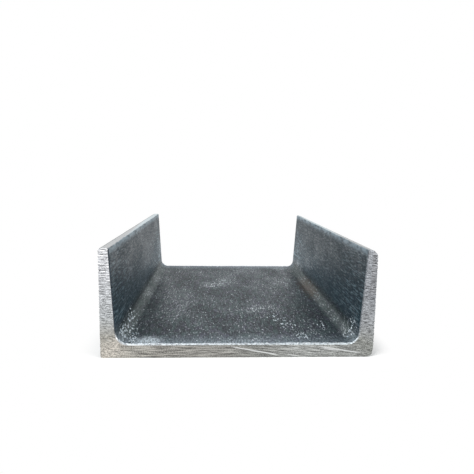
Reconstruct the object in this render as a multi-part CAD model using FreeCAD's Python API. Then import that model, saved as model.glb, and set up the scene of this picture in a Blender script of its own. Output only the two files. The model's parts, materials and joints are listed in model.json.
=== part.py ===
import FreeCAD, Part
import math
import os

# A short offcut of rolled stainless steel channel, lying on the back of its web with both flanges up.
# The flanges taper from root to toe, the roots are rounded, and both ends are sawn square.
#
# Sizes are millimetres. X runs across the web, Y along the length and Z up the flanges.
# The origin is on the back of the web, at the middle of its depth and of the length.
# The left flange is the one on the -X side.

# Rolled section
WEB_DEPTH = 140.0            # over the outer faces of the flanges
FLANGE_WIDTH = 56.3          # from the back of the web to the toes
WEB_THICKNESS = 7.2
FLANGE_THICKNESS = 7.0       # at the middle of the flange's width, where a mill gauges it
FLANGE_SLOPE = 0.059         # how far the inner face leans, in mm across for each mm up

# Round corners of the section
# The rolls fill the corners unevenly, so the right flange has a softer toe and heel than the left.
ROOT_RADIUS = 6.0
LEFT_HEEL_RADIUS = 0.8
RIGHT_HEEL_RADIUS = 1.6
LEFT_OUTER_TOE_RADIUS = 1.5
RIGHT_OUTER_TOE_RADIUS = 4.0
LEFT_INNER_TOE_RADIUS = 0.9
RIGHT_INNER_TOE_RADIUS = 1.0
LEAST_TOE_FLAT = 0.2         # flat that stays between the two radii of a thin toe

# Cut length and ends
LENGTH = 200.0
DEBURR = 0.5                 # bevel filed on the inner edge of each sawn end

# How closely a point has to lie on a face to count as on it
ON_FACE = 0.001


def inner_face_x(height):
    """Distance from the middle of the web to a flange's inner face, at a height above the web's back."""
    thickness = FLANGE_THICKNESS + FLANGE_SLOPE * (FLANGE_WIDTH / 2 - height)
    return WEB_DEPTH / 2 - thickness


def corner(x, z, radius):
    """One corner of the section, at the near end of the bar, with the radius that rounds it."""
    return FreeCAD.Vector(x, -LENGTH / 2, z), radius


def rounded_ends(before, point, after, radius):
    """Where the arc that rounds a corner starts, its middle, and where it ends."""
    to_before = (before - point).normalize()
    to_after = (after - point).normalize()
    half_angle = to_before.getAngle(to_after) / 2
    setback = radius / math.tan(half_angle)
    inwards = (to_before + to_after).normalize()
    middle = point + inwards * (radius / math.sin(half_angle) - radius)
    return point + to_before * setback, middle, point + to_after * setback


def rounded_outline(corners):
    """Closed wire through the corners: straight sides joined by tangent arcs."""
    count = len(corners)
    arcs = []
    for index, (point, radius) in enumerate(corners):
        before = corners[index - 1][0]
        after = corners[(index + 1) % count][0]
        arcs.append(rounded_ends(before, point, after, radius))
    edges = []
    for index, (start, middle, end) in enumerate(arcs):
        if corners[index][1] > 0:
            edges.append(Part.Arc(start, middle, end).toShape())
        next_start = arcs[(index + 1) % count][0]
        edges.append(Part.LineSegment(end, next_start).toShape())
    return Part.Wire(edges)


def radii_that_fit(outer_radius, inner_radius):
    """The outer and inner radius of a toe, made smaller together where the toe is too thin for them."""
    toe_thickness = WEB_DEPTH / 2 - inner_face_x(FLANGE_WIDTH)
    if outer_radius + inner_radius <= toe_thickness - LEAST_TOE_FLAT:
        return outer_radius, inner_radius
    share = (toe_thickness - LEAST_TOE_FLAT) / (outer_radius + inner_radius)
    return outer_radius * share, inner_radius * share


def flange_corners(side, heel_radius, outer_radius, inner_radius):
    """Corners of one flange from heel to root. side is -1 on the left and +1 on the right."""
    outer_toe_radius, inner_toe_radius = radii_that_fit(outer_radius, inner_radius)
    return [
        corner(side * WEB_DEPTH / 2, 0, heel_radius),
        corner(side * WEB_DEPTH / 2, FLANGE_WIDTH, outer_toe_radius),
        corner(side * inner_face_x(FLANGE_WIDTH), FLANGE_WIDTH, inner_toe_radius),
        corner(side * inner_face_x(WEB_THICKNESS), WEB_THICKNESS, ROOT_RADIUS),
    ]


def bar(right_flange, left_flange):
    """The section run along its length: up the right flange, down to its root, and back by the left."""
    face = Part.Face(rounded_outline(right_flange + left_flange[::-1]))
    return face.extrude(FreeCAD.Vector(0, LENGTH, 0))


def is_inner_end_edge(edge):
    """Whether an edge lies in a sawn end and borders the hollow between the flanges."""
    middle = edge.valueAt((edge.FirstParameter + edge.LastParameter) / 2)
    on_end = abs(abs(middle.y) - LENGTH / 2) < ON_FACE
    over_web = WEB_THICKNESS - ON_FACE < middle.z < FLANGE_WIDTH - ON_FACE
    between_flanges = abs(middle.x) < inner_face_x(middle.z) + ON_FACE
    return on_end and over_web and between_flanges


def deburred_bar():
    """Bar with sharp toes and heels, and a bevel round the hollow at both ends."""
    sharp = bar(flange_corners(1, 0, 0, 0), flange_corners(-1, 0, 0, 0))
    edges = [edge for edge in sharp.Edges if is_inner_end_edge(edge)]
    return sharp.makeChamfer(DEBURR, edges)


def rolled_bar():
    """Bar with the round toes and heels that rolling leaves."""
    right = flange_corners(1, RIGHT_HEEL_RADIUS, RIGHT_OUTER_TOE_RADIUS, RIGHT_INNER_TOE_RADIUS)
    left = flange_corners(-1, LEFT_HEEL_RADIUS, LEFT_OUTER_TOE_RADIUS, LEFT_INNER_TOE_RADIUS)
    return bar(right, left)


def channel():
    """The whole channel: what the rolled bar and the deburred one have in common."""
    return rolled_bar().common(deburred_bar())


def main():
    os.makedirs("parts", exist_ok=True)
    solid = channel()
    solid.exportStep("parts/channel.step")
    box = solid.BoundBox
    print("channel %.2f x %.2f x %.2f mm" % (box.XLength, box.YLength, box.ZLength))
    print("volume %.1f cm3, valid %s, solids %d" % (solid.Volume / 1000, solid.isValid(), len(solid.Solids)))


main()
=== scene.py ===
"""Looks of a short offcut of rolled stainless steel channel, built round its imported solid.

The bar is one closed mesh swept from the rolled section. Geometry Nodes give it the saw's marks, the ripple
of the rolls and nibbled edges, run a ragged wire edge round the sawn ends, and scatter rubbed bright flecks.
Sizes are millimetres, as a mill's table gives them, and become metres where a mesh is made.

Node trees are wired from patterns: small dataclasses that say what a tone or a share depends on. A pattern
reads other values by name. Every place is known as place, and as x, y and z.
"""

import json
import logging
import math
from collections.abc import Iterable
from dataclasses import dataclass
from enum import Enum, IntEnum
from typing import NamedTuple

import bpy
import numpy as np
from mathutils import Matrix, Vector


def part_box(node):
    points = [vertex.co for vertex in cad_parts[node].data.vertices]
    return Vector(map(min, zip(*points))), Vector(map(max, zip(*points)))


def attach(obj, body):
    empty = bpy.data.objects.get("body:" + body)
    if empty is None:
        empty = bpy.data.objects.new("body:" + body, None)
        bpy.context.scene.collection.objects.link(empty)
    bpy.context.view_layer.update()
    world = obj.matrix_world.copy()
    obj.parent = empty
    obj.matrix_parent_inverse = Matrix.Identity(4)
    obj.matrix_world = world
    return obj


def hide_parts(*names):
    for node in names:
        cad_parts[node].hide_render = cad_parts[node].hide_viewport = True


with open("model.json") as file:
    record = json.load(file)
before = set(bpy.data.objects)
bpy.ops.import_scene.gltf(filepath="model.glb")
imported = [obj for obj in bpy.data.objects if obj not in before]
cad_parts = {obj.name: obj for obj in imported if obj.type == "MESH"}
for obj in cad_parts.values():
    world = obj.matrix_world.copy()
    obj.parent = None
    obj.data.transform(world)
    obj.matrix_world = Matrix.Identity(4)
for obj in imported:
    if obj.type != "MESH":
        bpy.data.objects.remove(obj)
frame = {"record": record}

LOG = logging.getLogger("channel")
MM = 0.001
PER_CM2 = 1.0e4
NODE = "channel"

Tree = bpy.types.NodeTree
Socket = bpy.types.NodeSocket
Material = bpy.types.Material
Place = tuple[float, float, float]
Steps = tuple[tuple[float, str], ...]


class Side(IntEnum):
    """The two flanges, by the sign of their X."""

    LEFT = -1
    RIGHT = 1


class End(IntEnum):
    """The two sawn ends, by the sign of their Y."""

    NEAR = -1
    FAR = 1


class Face(IntEnum):
    """What made each face of the bar, stored in the mesh's finish attribute."""

    ROLLED = 0
    SAWN = 1
    FILED = 2


class Recipe(NamedTuple):
    """A kind of node: its type and settings, the inputs that values go to in turn, and the output read."""

    type_name: str
    settings: dict[str, object] = {}
    inputs: tuple[int | str, ...] = (0, 1, 2, 3, 4)
    output: int | str = 0


class Kind(Enum):
    """Kinds of node that the trees use."""

    ABSOLUTE = Recipe("ShaderNodeMath", {"operation": "ABSOLUTE"})
    ADD = Recipe("ShaderNodeMath", {"operation": "ADD"})
    GREATER_THAN = Recipe("ShaderNodeMath", {"operation": "GREATER_THAN"})
    LESS_THAN = Recipe("ShaderNodeMath", {"operation": "LESS_THAN"})
    MAXIMUM = Recipe("ShaderNodeMath", {"operation": "MAXIMUM"})
    MINIMUM = Recipe("ShaderNodeMath", {"operation": "MINIMUM"})
    MULTIPLY = Recipe("ShaderNodeMath", {"operation": "MULTIPLY"})
    MULTIPLY_ADD = Recipe("ShaderNodeMath", {"operation": "MULTIPLY_ADD"})
    SIGN = Recipe("ShaderNodeMath", {"operation": "SIGN"})
    SINE = Recipe("ShaderNodeMath", {"operation": "SINE"})
    SUBTRACT = Recipe("ShaderNodeMath", {"operation": "SUBTRACT"})
    VECTOR_ABSOLUTE = Recipe("ShaderNodeVectorMath", {"operation": "ABSOLUTE"})
    VECTOR_ADD = Recipe("ShaderNodeVectorMath", {"operation": "ADD"})
    VECTOR_MAXIMUM = Recipe("ShaderNodeVectorMath", {"operation": "MAXIMUM"})
    VECTOR_MULTIPLY = Recipe("ShaderNodeVectorMath", {"operation": "MULTIPLY"})
    VECTOR_SCALE = Recipe("ShaderNodeVectorMath", {"operation": "SCALE"}, (0, "Scale"))
    VECTOR_SUBTRACT = Recipe("ShaderNodeVectorMath", {"operation": "SUBTRACT"})
    DISTANCE = Recipe("ShaderNodeVectorMath", {"operation": "DISTANCE"}, (0, 1), "Value")
    LENGTH = Recipe("ShaderNodeVectorMath", {"operation": "LENGTH"}, (0,), "Value")
    VECTOR = Recipe("ShaderNodeCombineXYZ")
    AXES = Recipe("ShaderNodeSeparateXYZ")
    FADE = Recipe("ShaderNodeMapRange", {"interpolation_type": "SMOOTHSTEP"})
    RANGE = Recipe("ShaderNodeMapRange", {"interpolation_type": "LINEAR"})
    NOISE = Recipe("ShaderNodeTexNoise", {"noise_dimensions": "4D"},
                   ("Vector", "W", "Scale", "Detail", "Roughness"))

    OBJECT_PLACE = Recipe("ShaderNodeTexCoord", output="Object")
    MARK = Recipe("ShaderNodeAttribute", {"attribute_name": "mark"}, output="Fac")
    COURSE = Recipe("ShaderNodeAttribute", {"attribute_name": "course"}, output="Fac")
    BLEND = Recipe("ShaderNodeMix", {"data_type": "RGBA"}, (0, 6, 7), 2)
    STEPS = Recipe("ShaderNodeValToRGB")
    BUMP = Recipe("ShaderNodeBump", inputs=("Height", "Distance", "Strength"))
    METAL = Recipe("ShaderNodeBsdfPrincipled", inputs=("Base Color", "Roughness", "Metallic", "Normal"))
    MATT = Recipe("ShaderNodeBsdfDiffuse")
    GLOW = Recipe("ShaderNodeEmission")
    SKY = Recipe("ShaderNodeBackground")
    MIX_SHADERS = Recipe("ShaderNodeMixShader")
    LIGHT_PATH = Recipe("ShaderNodeLightPath")
    SURFACE = Recipe("ShaderNodeOutputMaterial")
    WORLD = Recipe("ShaderNodeOutputWorld")

    SIZES = Recipe("NodeGroupInput")
    RESULT = Recipe("NodeGroupOutput")
    POSITION = Recipe("GeometryNodeInputPosition")
    STORED_VECTOR = Recipe("GeometryNodeInputNamedAttribute", {"data_type": "FLOAT_VECTOR"})
    STORED_FLOAT = Recipe("GeometryNodeInputNamedAttribute", {"data_type": "FLOAT"})
    STORED_INT = Recipe("GeometryNodeInputNamedAttribute", {"data_type": "INT"})
    STORE_FLOAT = Recipe("GeometryNodeStoreNamedAttribute", {"data_type": "FLOAT", "domain": "POINT"},
                         ("Geometry", "Name", "Value"))
    SAME_INT = Recipe("FunctionNodeCompare", {"data_type": "INT", "operation": "EQUAL"}, (2, 3))
    RANDOM = Recipe("FunctionNodeRandomValue", {}, (2, 3, "Seed"), 1)
    SET_POSITION = Recipe("GeometryNodeSetPosition", inputs=("Geometry", "Offset"))
    SET_MATERIAL = Recipe("GeometryNodeSetMaterial", inputs=("Geometry", "Selection", "Material"))
    REALIZE = Recipe("GeometryNodeRealizeInstances")
    TO_CURVE = Recipe("GeometryNodeMeshToCurve")
    RESAMPLE = Recipe("GeometryNodeResampleCurve", {"mode": "LENGTH"}, ("Curve", "Length"))
    CIRCLE = Recipe("GeometryNodeCurvePrimitiveCircle", inputs=("Resolution", "Radius"))
    TO_MESH = Recipe("GeometryNodeCurveToMesh", inputs=("Curve", "Profile Curve", "Scale", "Fill Caps"))
    SCATTER = Recipe("GeometryNodeDistributePointsOnFaces", {"distribute_method": "RANDOM"},
                     ("Mesh", "Selection", "Density", "Seed"))
    ALIGN = Recipe("FunctionNodeAlignRotationToVector", {"axis": "Y", "pivot_axis": "Z"},
                   ("Rotation", "Vector"))
    TURN = Recipe("FunctionNodeAxisAngleToRotation", inputs=("Axis", "Angle"))
    TURN_BY = Recipe("FunctionNodeRotateRotation", {"rotation_space": "LOCAL"}, ("Rotation", "Rotate By"))
    SHAPE_OF = Recipe("GeometryNodeObjectInfo", {}, ("Object",), "Geometry")
    COPY_TO = Recipe("GeometryNodeInstanceOnPoints", inputs=("Points", "Instance", "Rotation", "Scale"))


def linear_colour(hex_colour: str) -> tuple[float, float, float, float]:
    """Turn an sRGB hex colour into the linear colour that a shader takes.

    Args:
        hex_colour: Six hex digits after a hash sign.

    Returns:
        Linear red, green, blue and an alpha of one.
    """
    parts = [int(hex_colour[i:i + 2], 16) / 255 for i in (1, 3, 5)]
    linear = [p / 12.92 if p <= 0.04045 else ((p + 0.055) / 1.055) ** 2.4 for p in parts]
    return (*linear, 1.0)


class Pattern:
    """Something that is wired into a node tree and gives a value there."""

    def wire(self, wiring: "Wiring") -> Socket:
        """Add the pattern's nodes to a tree, and return the output with its value."""
        raise NotImplementedError


Part = str | float | Vector | Socket | Pattern


class Wiring:
    """A node tree that is being wired, with the values that patterns read by name."""

    def __init__(self, tree: Tree, whereabouts: Kind | None = None) -> None:
        """Start on an empty tree.

        Args:
            tree: The tree.
            whereabouts: Kind of node that gives the place in metres, if patterns need it.
        """
        self.tree = tree
        self.known: dict[str, Part] = {}
        if whereabouts:
            self.known["place"] = self.add(Kind.VECTOR_SCALE, self.add(whereabouts), 1 / MM)
            self.known.update(zip("xyz", self.add(Kind.AXES, "place").node.outputs))
            self.known.update(across=Made(Kind.ABSOLUTE, ("x",)), along=Made(Kind.ABSOLUTE, ("y",)))

    def know(self, owner: object) -> None:
        """Make an object's patterns known by their fields' names. Each is wired when it is first read."""
        self.known.update((name, part) for name, part in vars(owner).items() if isinstance(part, Pattern))

    def read(self, part: Part) -> Part:
        """Find the output or the plain value that a part stands for.

        Args:
            part: Known name, hex colour, pattern, output or plain value.

        Returns:
            The output or the plain value.
        """
        if isinstance(part, str) and part in self.known:
            self.known[part] = self.read(self.known[part])
            return self.known[part]
        if isinstance(part, str) and part.startswith("#"):
            return linear_colour(part)
        return part.wire(self) if isinstance(part, Pattern) else part

    def add(self, kind: Kind, *parts: Part, steps: Steps = ()) -> Socket | None:
        """Add one node with its settings, and give its inputs their values or links.

        Args:
            kind: Kind of node.
            *parts: What goes to its inputs in turn.
            steps: Places and hex colours of a colour ramp's stops, in rising order.

        Returns:
            The output that the kind names, or nothing where the node ends the tree.
        """
        recipe = kind.value
        node = self.tree.nodes.new(recipe.type_name)
        for name, setting in recipe.settings.items():
            setattr(node, name, setting)
        for key, part in zip(recipe.inputs, parts):
            value = self.read(part)
            if isinstance(value, Socket):
                self.tree.links.new(value, node.inputs[key])
            else:
                node.inputs[key].default_value = value
        for index, (place, colour) in enumerate(steps):
            stops = node.color_ramp.elements
            stop = stops[index] if index < len(stops) else stops.new(place)
            stop.position, stop.color = place, linear_colour(colour)
        return node.outputs[recipe.output] if len(node.outputs) else None

    def lay(self, colour: Part, layers: "Iterable[Layer]") -> Socket:
        """Lay colours over a colour, one after another.

        Args:
            colour: What lies below.
            layers: The layers, from the lowest up.

        Returns:
            Output with the colour.
        """
        for layer in layers:
            colour = self.add(Kind.BLEND, layer.where, colour, layer.colour)
        return colour


@dataclass(frozen=True)
class Made(Pattern):
    """What one node makes of its parts."""

    kind: Kind
    parts: tuple[Part, ...] = ()

    def wire(self, wiring: Wiring) -> Socket:
        """Add the node."""
        return wiring.add(self.kind, *self.parts)


@dataclass(frozen=True)
class Sum(Pattern):
    """Base value with parts added to it, each times its share."""

    shares: tuple[tuple[Part, float], ...]
    base: Part = 0.0

    def wire(self, wiring: Wiring) -> Socket:
        """Add up the parts.

        Args:
            wiring: Tree to add to.

        Returns:
            Output with the sum.
        """
        total = self.base
        for part, share in self.shares:
            total = wiring.add(Kind.MULTIPLY_ADD, part, share, total)
        return total


@dataclass(frozen=True)
class Product(Pattern):
    """Parts multiplied together. As a share it is 1 where all its parts are."""

    parts: tuple[Part, ...]

    def wire(self, wiring: Wiring) -> Socket:
        """Multiply the parts.

        Args:
            wiring: Tree to add to.

        Returns:
            Output with the product.
        """
        total, *others = self.parts
        for part in others:
            total = wiring.add(Kind.MULTIPLY, total, part)
        return wiring.read(total)


@dataclass(frozen=True)
class Between(Pattern):
    """Value between two others, by a share of the second."""

    share: Part
    first: str
    second: str

    def wire(self, wiring: Wiring) -> Socket:
        """Mix the two values."""
        off = wiring.add(Kind.SUBTRACT, self.second, self.first)
        return wiring.add(Kind.MULTIPLY_ADD, off, self.share, self.first)


@dataclass(frozen=True)
class Fade(Pattern):
    """Smooth change with another value: start where that is low, end where it is high, and held beyond."""

    by: Part
    low: float
    high: float
    start: float = 0.0
    end: float = 1.0

    def wire(self, wiring: Wiring) -> Socket:
        """Map the other value smoothly onto start to end.

        Args:
            wiring: Tree to add to.

        Returns:
            Output with the value.
        """
        if self.low <= self.high:
            return wiring.add(Kind.FADE, self.by, self.low, self.high, self.start, self.end)
        return wiring.add(Kind.FADE, self.by, self.high, self.low, self.end, self.start)


@dataclass(frozen=True)
class Grain(Pattern):
    """Noise from about 0 to 1 whose grain has its own size along X, Y and Z.

    The seed is where the noise's fourth dimension is cut, and at names the coordinates that it follows.
    """

    sizes: Place
    seed: float
    detail: float = 2.0
    roughness: float = 0.55
    at: str = "place"

    def wire(self, wiring: Wiring) -> Socket:
        """Squeeze the coordinates by the grain's sizes and add the noise."""
        squeezed = wiring.add(Kind.VECTOR_MULTIPLY, self.at, Vector([1 / size for size in self.sizes]))
        return wiring.add(Kind.NOISE, squeezed, self.seed, 1.0, self.detail, self.roughness)


@dataclass(frozen=True)
class Patch(Pattern):
    """Soft patch round a place, 1 in its middle and 0 outside, with an edge that follows the mottle."""

    centre: Place
    reach: Place
    raggedness: float = 1.6
    outside: float = 1.9
    inside: float = 1.1

    def wire(self, wiring: Wiring) -> Socket:
        """Measure the distance from the centre in reaches, and fade with it.

        Args:
            wiring: Tree to add to.

        Returns:
            Output with the patch's share.
        """
        off = wiring.add(Kind.VECTOR_SUBTRACT, "place", Vector(self.centre))
        off = wiring.add(Kind.VECTOR_MULTIPLY, off, Vector([1 / size for size in self.reach]))
        away = Sum((("mottle", self.raggedness),), wiring.add(Kind.LENGTH, off))
        return Fade(away, self.outside, self.inside).wire(wiring)


class Layer(NamedTuple):
    """Colour that lies over others, as far as a share says."""

    colour: str
    where: Part


class MaterialWiring(Wiring):
    """Shader tree of a new material whose patterns read the piece's own coordinates."""

    def __init__(self, name: str) -> None:
        """Start a material.

        Args:
            name: Its name, for what it is and how it was made.
        """
        self.material = bpy.data.materials.new(name)
        self.material.use_nodes = True
        self.material.node_tree.nodes.clear()
        super().__init__(self.material.node_tree, Kind.OBJECT_PLACE)

    def close_metal(self, colour: Part, roughness: Part, height: Part, depth: float,
                    metallic: float) -> Material:
        """Close a metal's tree: its fine relief, its shader and the material's output.

        Args:
            colour: Base colour.
            roughness: Roughness.
            height: Height of the fine relief, from 0 to 1.
            depth: Real depth of that relief.
            metallic: How metallic the surface is, the same all over.

        Returns:
            The finished material.
        """
        normal = self.add(Kind.BUMP, height, depth * MM, 1.0)
        self.add(Kind.SURFACE, self.add(Kind.METAL, colour, roughness, metallic, normal))
        return self.material


class GeometryWiring(Wiring):
    """Geometry Nodes tree that takes a geometry and named sizes, and gives a geometry."""

    def __init__(self, name: str, sizes: dict[str, object]) -> None:
        """Start a tree.

        Args:
            name: Its name.
            sizes: Name and value of each input beside the geometry. The names become known.
        """
        kinds = {float: "NodeSocketFloat", int: "NodeSocketInt", bpy.types.Object: "NodeSocketObject"}
        tree = bpy.data.node_groups.new(name, "GeometryNodeTree")
        for direction in ("INPUT", "OUTPUT"):
            tree.interface.new_socket("Geometry", in_out=direction, socket_type="NodeSocketGeometry")
        for label, value in sizes.items():
            tree.interface.new_socket(label, in_out="INPUT", socket_type=kinds[type(value)])
        super().__init__(tree, Kind.POSITION)
        self.sizes = sizes
        self.known.update(zip(("Geometry", *sizes), self.add(Kind.SIZES).node.outputs))

    def close(self, geometry: Part, materials: dict[Socket | bool, Material]) -> None:
        """End the tree: realize its instances and set its materials.

        Args:
            geometry: What it has made.
            materials: Which faces get which material.
        """
        geometry = self.add(Kind.REALIZE, geometry)
        for chosen, material in materials.items():
            geometry = self.add(Kind.SET_MATERIAL, geometry, chosen, material)
        self.add(Kind.RESULT, geometry)

    def run(self, piece: bpy.types.Object) -> None:
        """Run the tree on a piece once, and keep the result as its plain mesh.

        Args:
            piece: The piece, which carries what the tree starts from.
        """
        modifier = piece.modifiers.new(self.tree.name, "NODES")
        modifier.node_group = self.tree
        for socket in self.tree.interface.items_tree:
            if socket.in_out == "INPUT" and socket.name in self.sizes:
                modifier[socket.identifier] = self.sizes[socket.name]
        depsgraph = bpy.context.evaluated_depsgraph_get()
        made = piece.evaluated_get(depsgraph)
        mesh = bpy.data.meshes.new_from_object(made, preserve_all_data_layers=True, depsgraph=depsgraph)
        piece.modifiers.remove(modifier)
        plain, piece.data = piece.data, mesh
        bpy.data.meshes.remove(plain)
        mesh.name = piece.name


def new_piece(name: str, points: Iterable, edges: list, faces: list) -> bpy.types.Object:
    """Make an object of a plain mesh and link it to the scene.

    Args:
        name: Name of the object and its mesh.
        points: Places of the points, in metres.
        edges: Edges that no face has.
        faces: Faces.

    Returns:
        The object.
    """
    mesh = bpy.data.meshes.new(name)
    mesh.from_pydata(points, edges, faces)
    piece = bpy.data.objects.new(name, mesh)
    bpy.context.scene.collection.objects.link(piece)
    return piece


def seat(piece: bpy.types.Object) -> None:
    """Shade a finished piece smooth, let it ride on the bar's body, and log its faces.

    Args:
        piece: The piece.
    """
    piece.data.shade_smooth()
    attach(piece, "root")
    LOG.info("%s: %d faces", piece.name, len(piece.data.polygons))


def circle(sides: int) -> list[tuple[float, float]]:
    """Corners of a regular polygon of radius one."""
    return [(math.cos(math.tau * i / sides), math.sin(math.tau * i / sides)) for i in range(sides)]


def unit(vector: np.ndarray) -> np.ndarray:
    """Scale a vector to length one."""
    return vector / np.linalg.norm(vector)


def rounded_line(start: tuple[float, float], corner: tuple[float, float], end: tuple[float, float],
                 radius: float, arc_points: int = 33) -> np.ndarray:
    """Line round one corner, as a dense run of points.

    Args:
        start: First point, as X and Z.
        corner: Sharp corner.
        end: Last point.
        radius: Radius that rounds the corner.
        arc_points: Number of points on the rounding.

    Returns:
        Points along the line, one to a row.
    """
    start, corner, end = (np.array(point, float) for point in (start, corner, end))
    to_start, to_end = unit(start - corner), unit(end - corner)
    half_angle = math.acos(np.clip(to_start @ to_end, -1, 1)) / 2
    centre = corner + unit(to_start + to_end) * radius / math.sin(half_angle)
    first = corner + to_start * radius / math.tan(half_angle) - centre
    last = corner + to_end * radius / math.tan(half_angle) - centre
    turn = math.pi - 2 * half_angle
    shares = np.linspace(0, 1, arc_points)[:, None]
    arc = (np.sin((1 - shares) * turn) * first + np.sin(shares * turn) * last) / math.sin(turn) + centre
    return np.vstack([start, arc, end])


def travelled(line: np.ndarray) -> np.ndarray:
    """Distance from a line's start to each of its points, along the line."""
    return np.concatenate([[0], np.cumsum(np.linalg.norm(np.diff(line, axis=0), axis=1))])


def evenly_spaced(line: np.ndarray, count: int) -> np.ndarray:
    """Points at equal distances along a line, both ends among them.

    Args:
        line: Points of the line, one to a row.
        count: How many points to give.

    Returns:
        The points, one to a row.
    """
    so_far = travelled(line)
    wanted = np.linspace(0, so_far[-1], count)
    return np.column_stack([np.interp(wanted, so_far, line[:, axis]) for axis in (0, 1)])


@dataclass(frozen=True)
class Corners:
    """Radii that round one flange's corners."""

    heel: float
    outer_toe: float
    inner_toe: float


@dataclass(frozen=True)
class Stations:
    """Pairs of points on the section, one to a row: one outside, and one across the metal by the hollow."""

    outer: np.ndarray
    inner: np.ndarray

    @property
    def across(self) -> np.ndarray:
        """Direction from each outer point to its inner one."""
        through = self.inner - self.outer
        return through / np.linalg.norm(through, axis=1)[:, None]

    @property
    def course(self) -> np.ndarray:
        """How far along the section each station lies, from 0 at the left toe to 1 at the right one."""
        so_far = travelled(self.outer)
        return so_far / so_far[-1]


@dataclass(frozen=True)
class RolledSection:
    """Cross-section of the bar. Its depth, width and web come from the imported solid.

    The rolls fill the corners unevenly, so the right flange has a softer toe and heel than the left.
    """

    depth: float
    width: float
    web: float
    flange: float = 7.0
    slope: float = 0.059
    root_radius: float = 6.0
    left: Corners = Corners(heel=0.8, outer_toe=1.5, inner_toe=0.9)
    right: Corners = Corners(heel=1.6, outer_toe=4.0, inner_toe=1.0)
    toe_reach: float = 5.0
    flange_pitch: float = 0.26
    corner_stations: int = 40
    web_pitch: float = 0.6

    def inner_x(self, height: float) -> float:
        """Distance from the middle of the web to a flange's inner face at a height."""
        return self.depth / 2 - self.flange - self.slope * (self.width / 2 - height)

    @property
    def lean(self) -> float:
        """Angle between a flange's inner and outer face, in radians."""
        return math.atan(self.slope)

    @property
    def root_setback(self) -> float:
        """Length of inner face, and of web, that a root's rounding takes up."""
        return self.root_radius / math.tan((math.pi / 2 + self.lean) / 2)

    @property
    def root_top(self) -> float:
        """Height at which a root's rounding ends and the flange's straight inner face starts."""
        return self.web + self.root_setback * math.cos(self.lean)

    @property
    def flat_x(self) -> float:
        """Distance from the middle of the web to where a root's rounding starts."""
        return self.inner_x(self.web) - self.root_setback

    def measures(self, length: float) -> dict[str, Pattern]:
        """How far a place lies from the bar's faces, corners and ends, for patterns to read by name.

        Args:
            length: Length of the bar.

        Returns:
            The distances, by name.
        """
        return {
            "from_face": Sum((("across", -1.0),), self.depth / 2),
            "past_flat": Sum((("across", 1.0),), -self.flat_x),
            "above_web": Sum((("z", 1.0),), -self.web),
            "above_root": Sum((("z", 1.0),), -self.root_top),
            "below_toe": Sum((("z", -1.0),), self.width),
            "from_end": Sum((("along", -1.0),), length / 2),
        }

    def flange_stations(self, side: Side) -> Stations:
        """Stations of one flange, from its toe to the flat of the web.

        Args:
            side: Which flange.

        Returns:
            The stations.
        """
        corners = self.left if side is Side.LEFT else self.right
        face, top, inner = self.depth / 2, self.width, self.inner_x
        toe_foot = top - self.toe_reach
        inner_toe_x = inner(top) + corners.inner_toe * math.tan((math.pi / 2 - self.lean) / 2)
        outer_runs = [
            rounded_line((face - corners.outer_toe, top), (face, top), (face, toe_foot), corners.outer_toe),
            np.array([(face, toe_foot), (face, self.root_top)]),
            rounded_line((face, self.root_top), (face, 0), (self.flat_x, 0), corners.heel),
        ]
        inner_runs = [
            rounded_line((inner_toe_x, top), (inner(top), top), (inner(toe_foot), toe_foot),
                         corners.inner_toe),
            np.array([(inner(toe_foot), toe_foot), (inner(self.root_top), self.root_top)]),
            rounded_line((inner(self.root_top), self.root_top), (inner(self.web), self.web),
                         (self.flat_x, self.web), self.root_radius),
        ]
        toe_count = math.ceil(self.toe_reach / self.flange_pitch)
        face_count = math.ceil((toe_foot - self.root_top) / self.flange_pitch)
        counts = (toe_count, face_count, self.corner_stations)
        outlines = []
        for runs in (outer_runs, inner_runs):
            spaced = [evenly_spaced(run, count + 1)[1:] for run, count in zip(runs, counts)]
            outlines.append(np.vstack([runs[0][:1], *spaced]) * (int(side), 1))
        return Stations(*outlines)

    def stations(self) -> Stations:
        """Join the stations of both flanges and the web.

        Returns:
            All stations, from the left toe round to the right toe.
        """
        count = math.ceil(2 * self.flat_x / self.web_pitch)
        across = np.linspace(-self.flat_x, self.flat_x, count + 1)[1:-1]
        left, right = self.flange_stations(Side.LEFT), self.flange_stations(Side.RIGHT)
        under = np.column_stack([across, np.zeros_like(across)])
        over = np.column_stack([across, np.full_like(across, self.web)])
        return Stations(np.vstack([left.outer, under, right.outer[::-1]]),
                        np.vstack([left.inner, over, right.inner[::-1]]))


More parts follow.
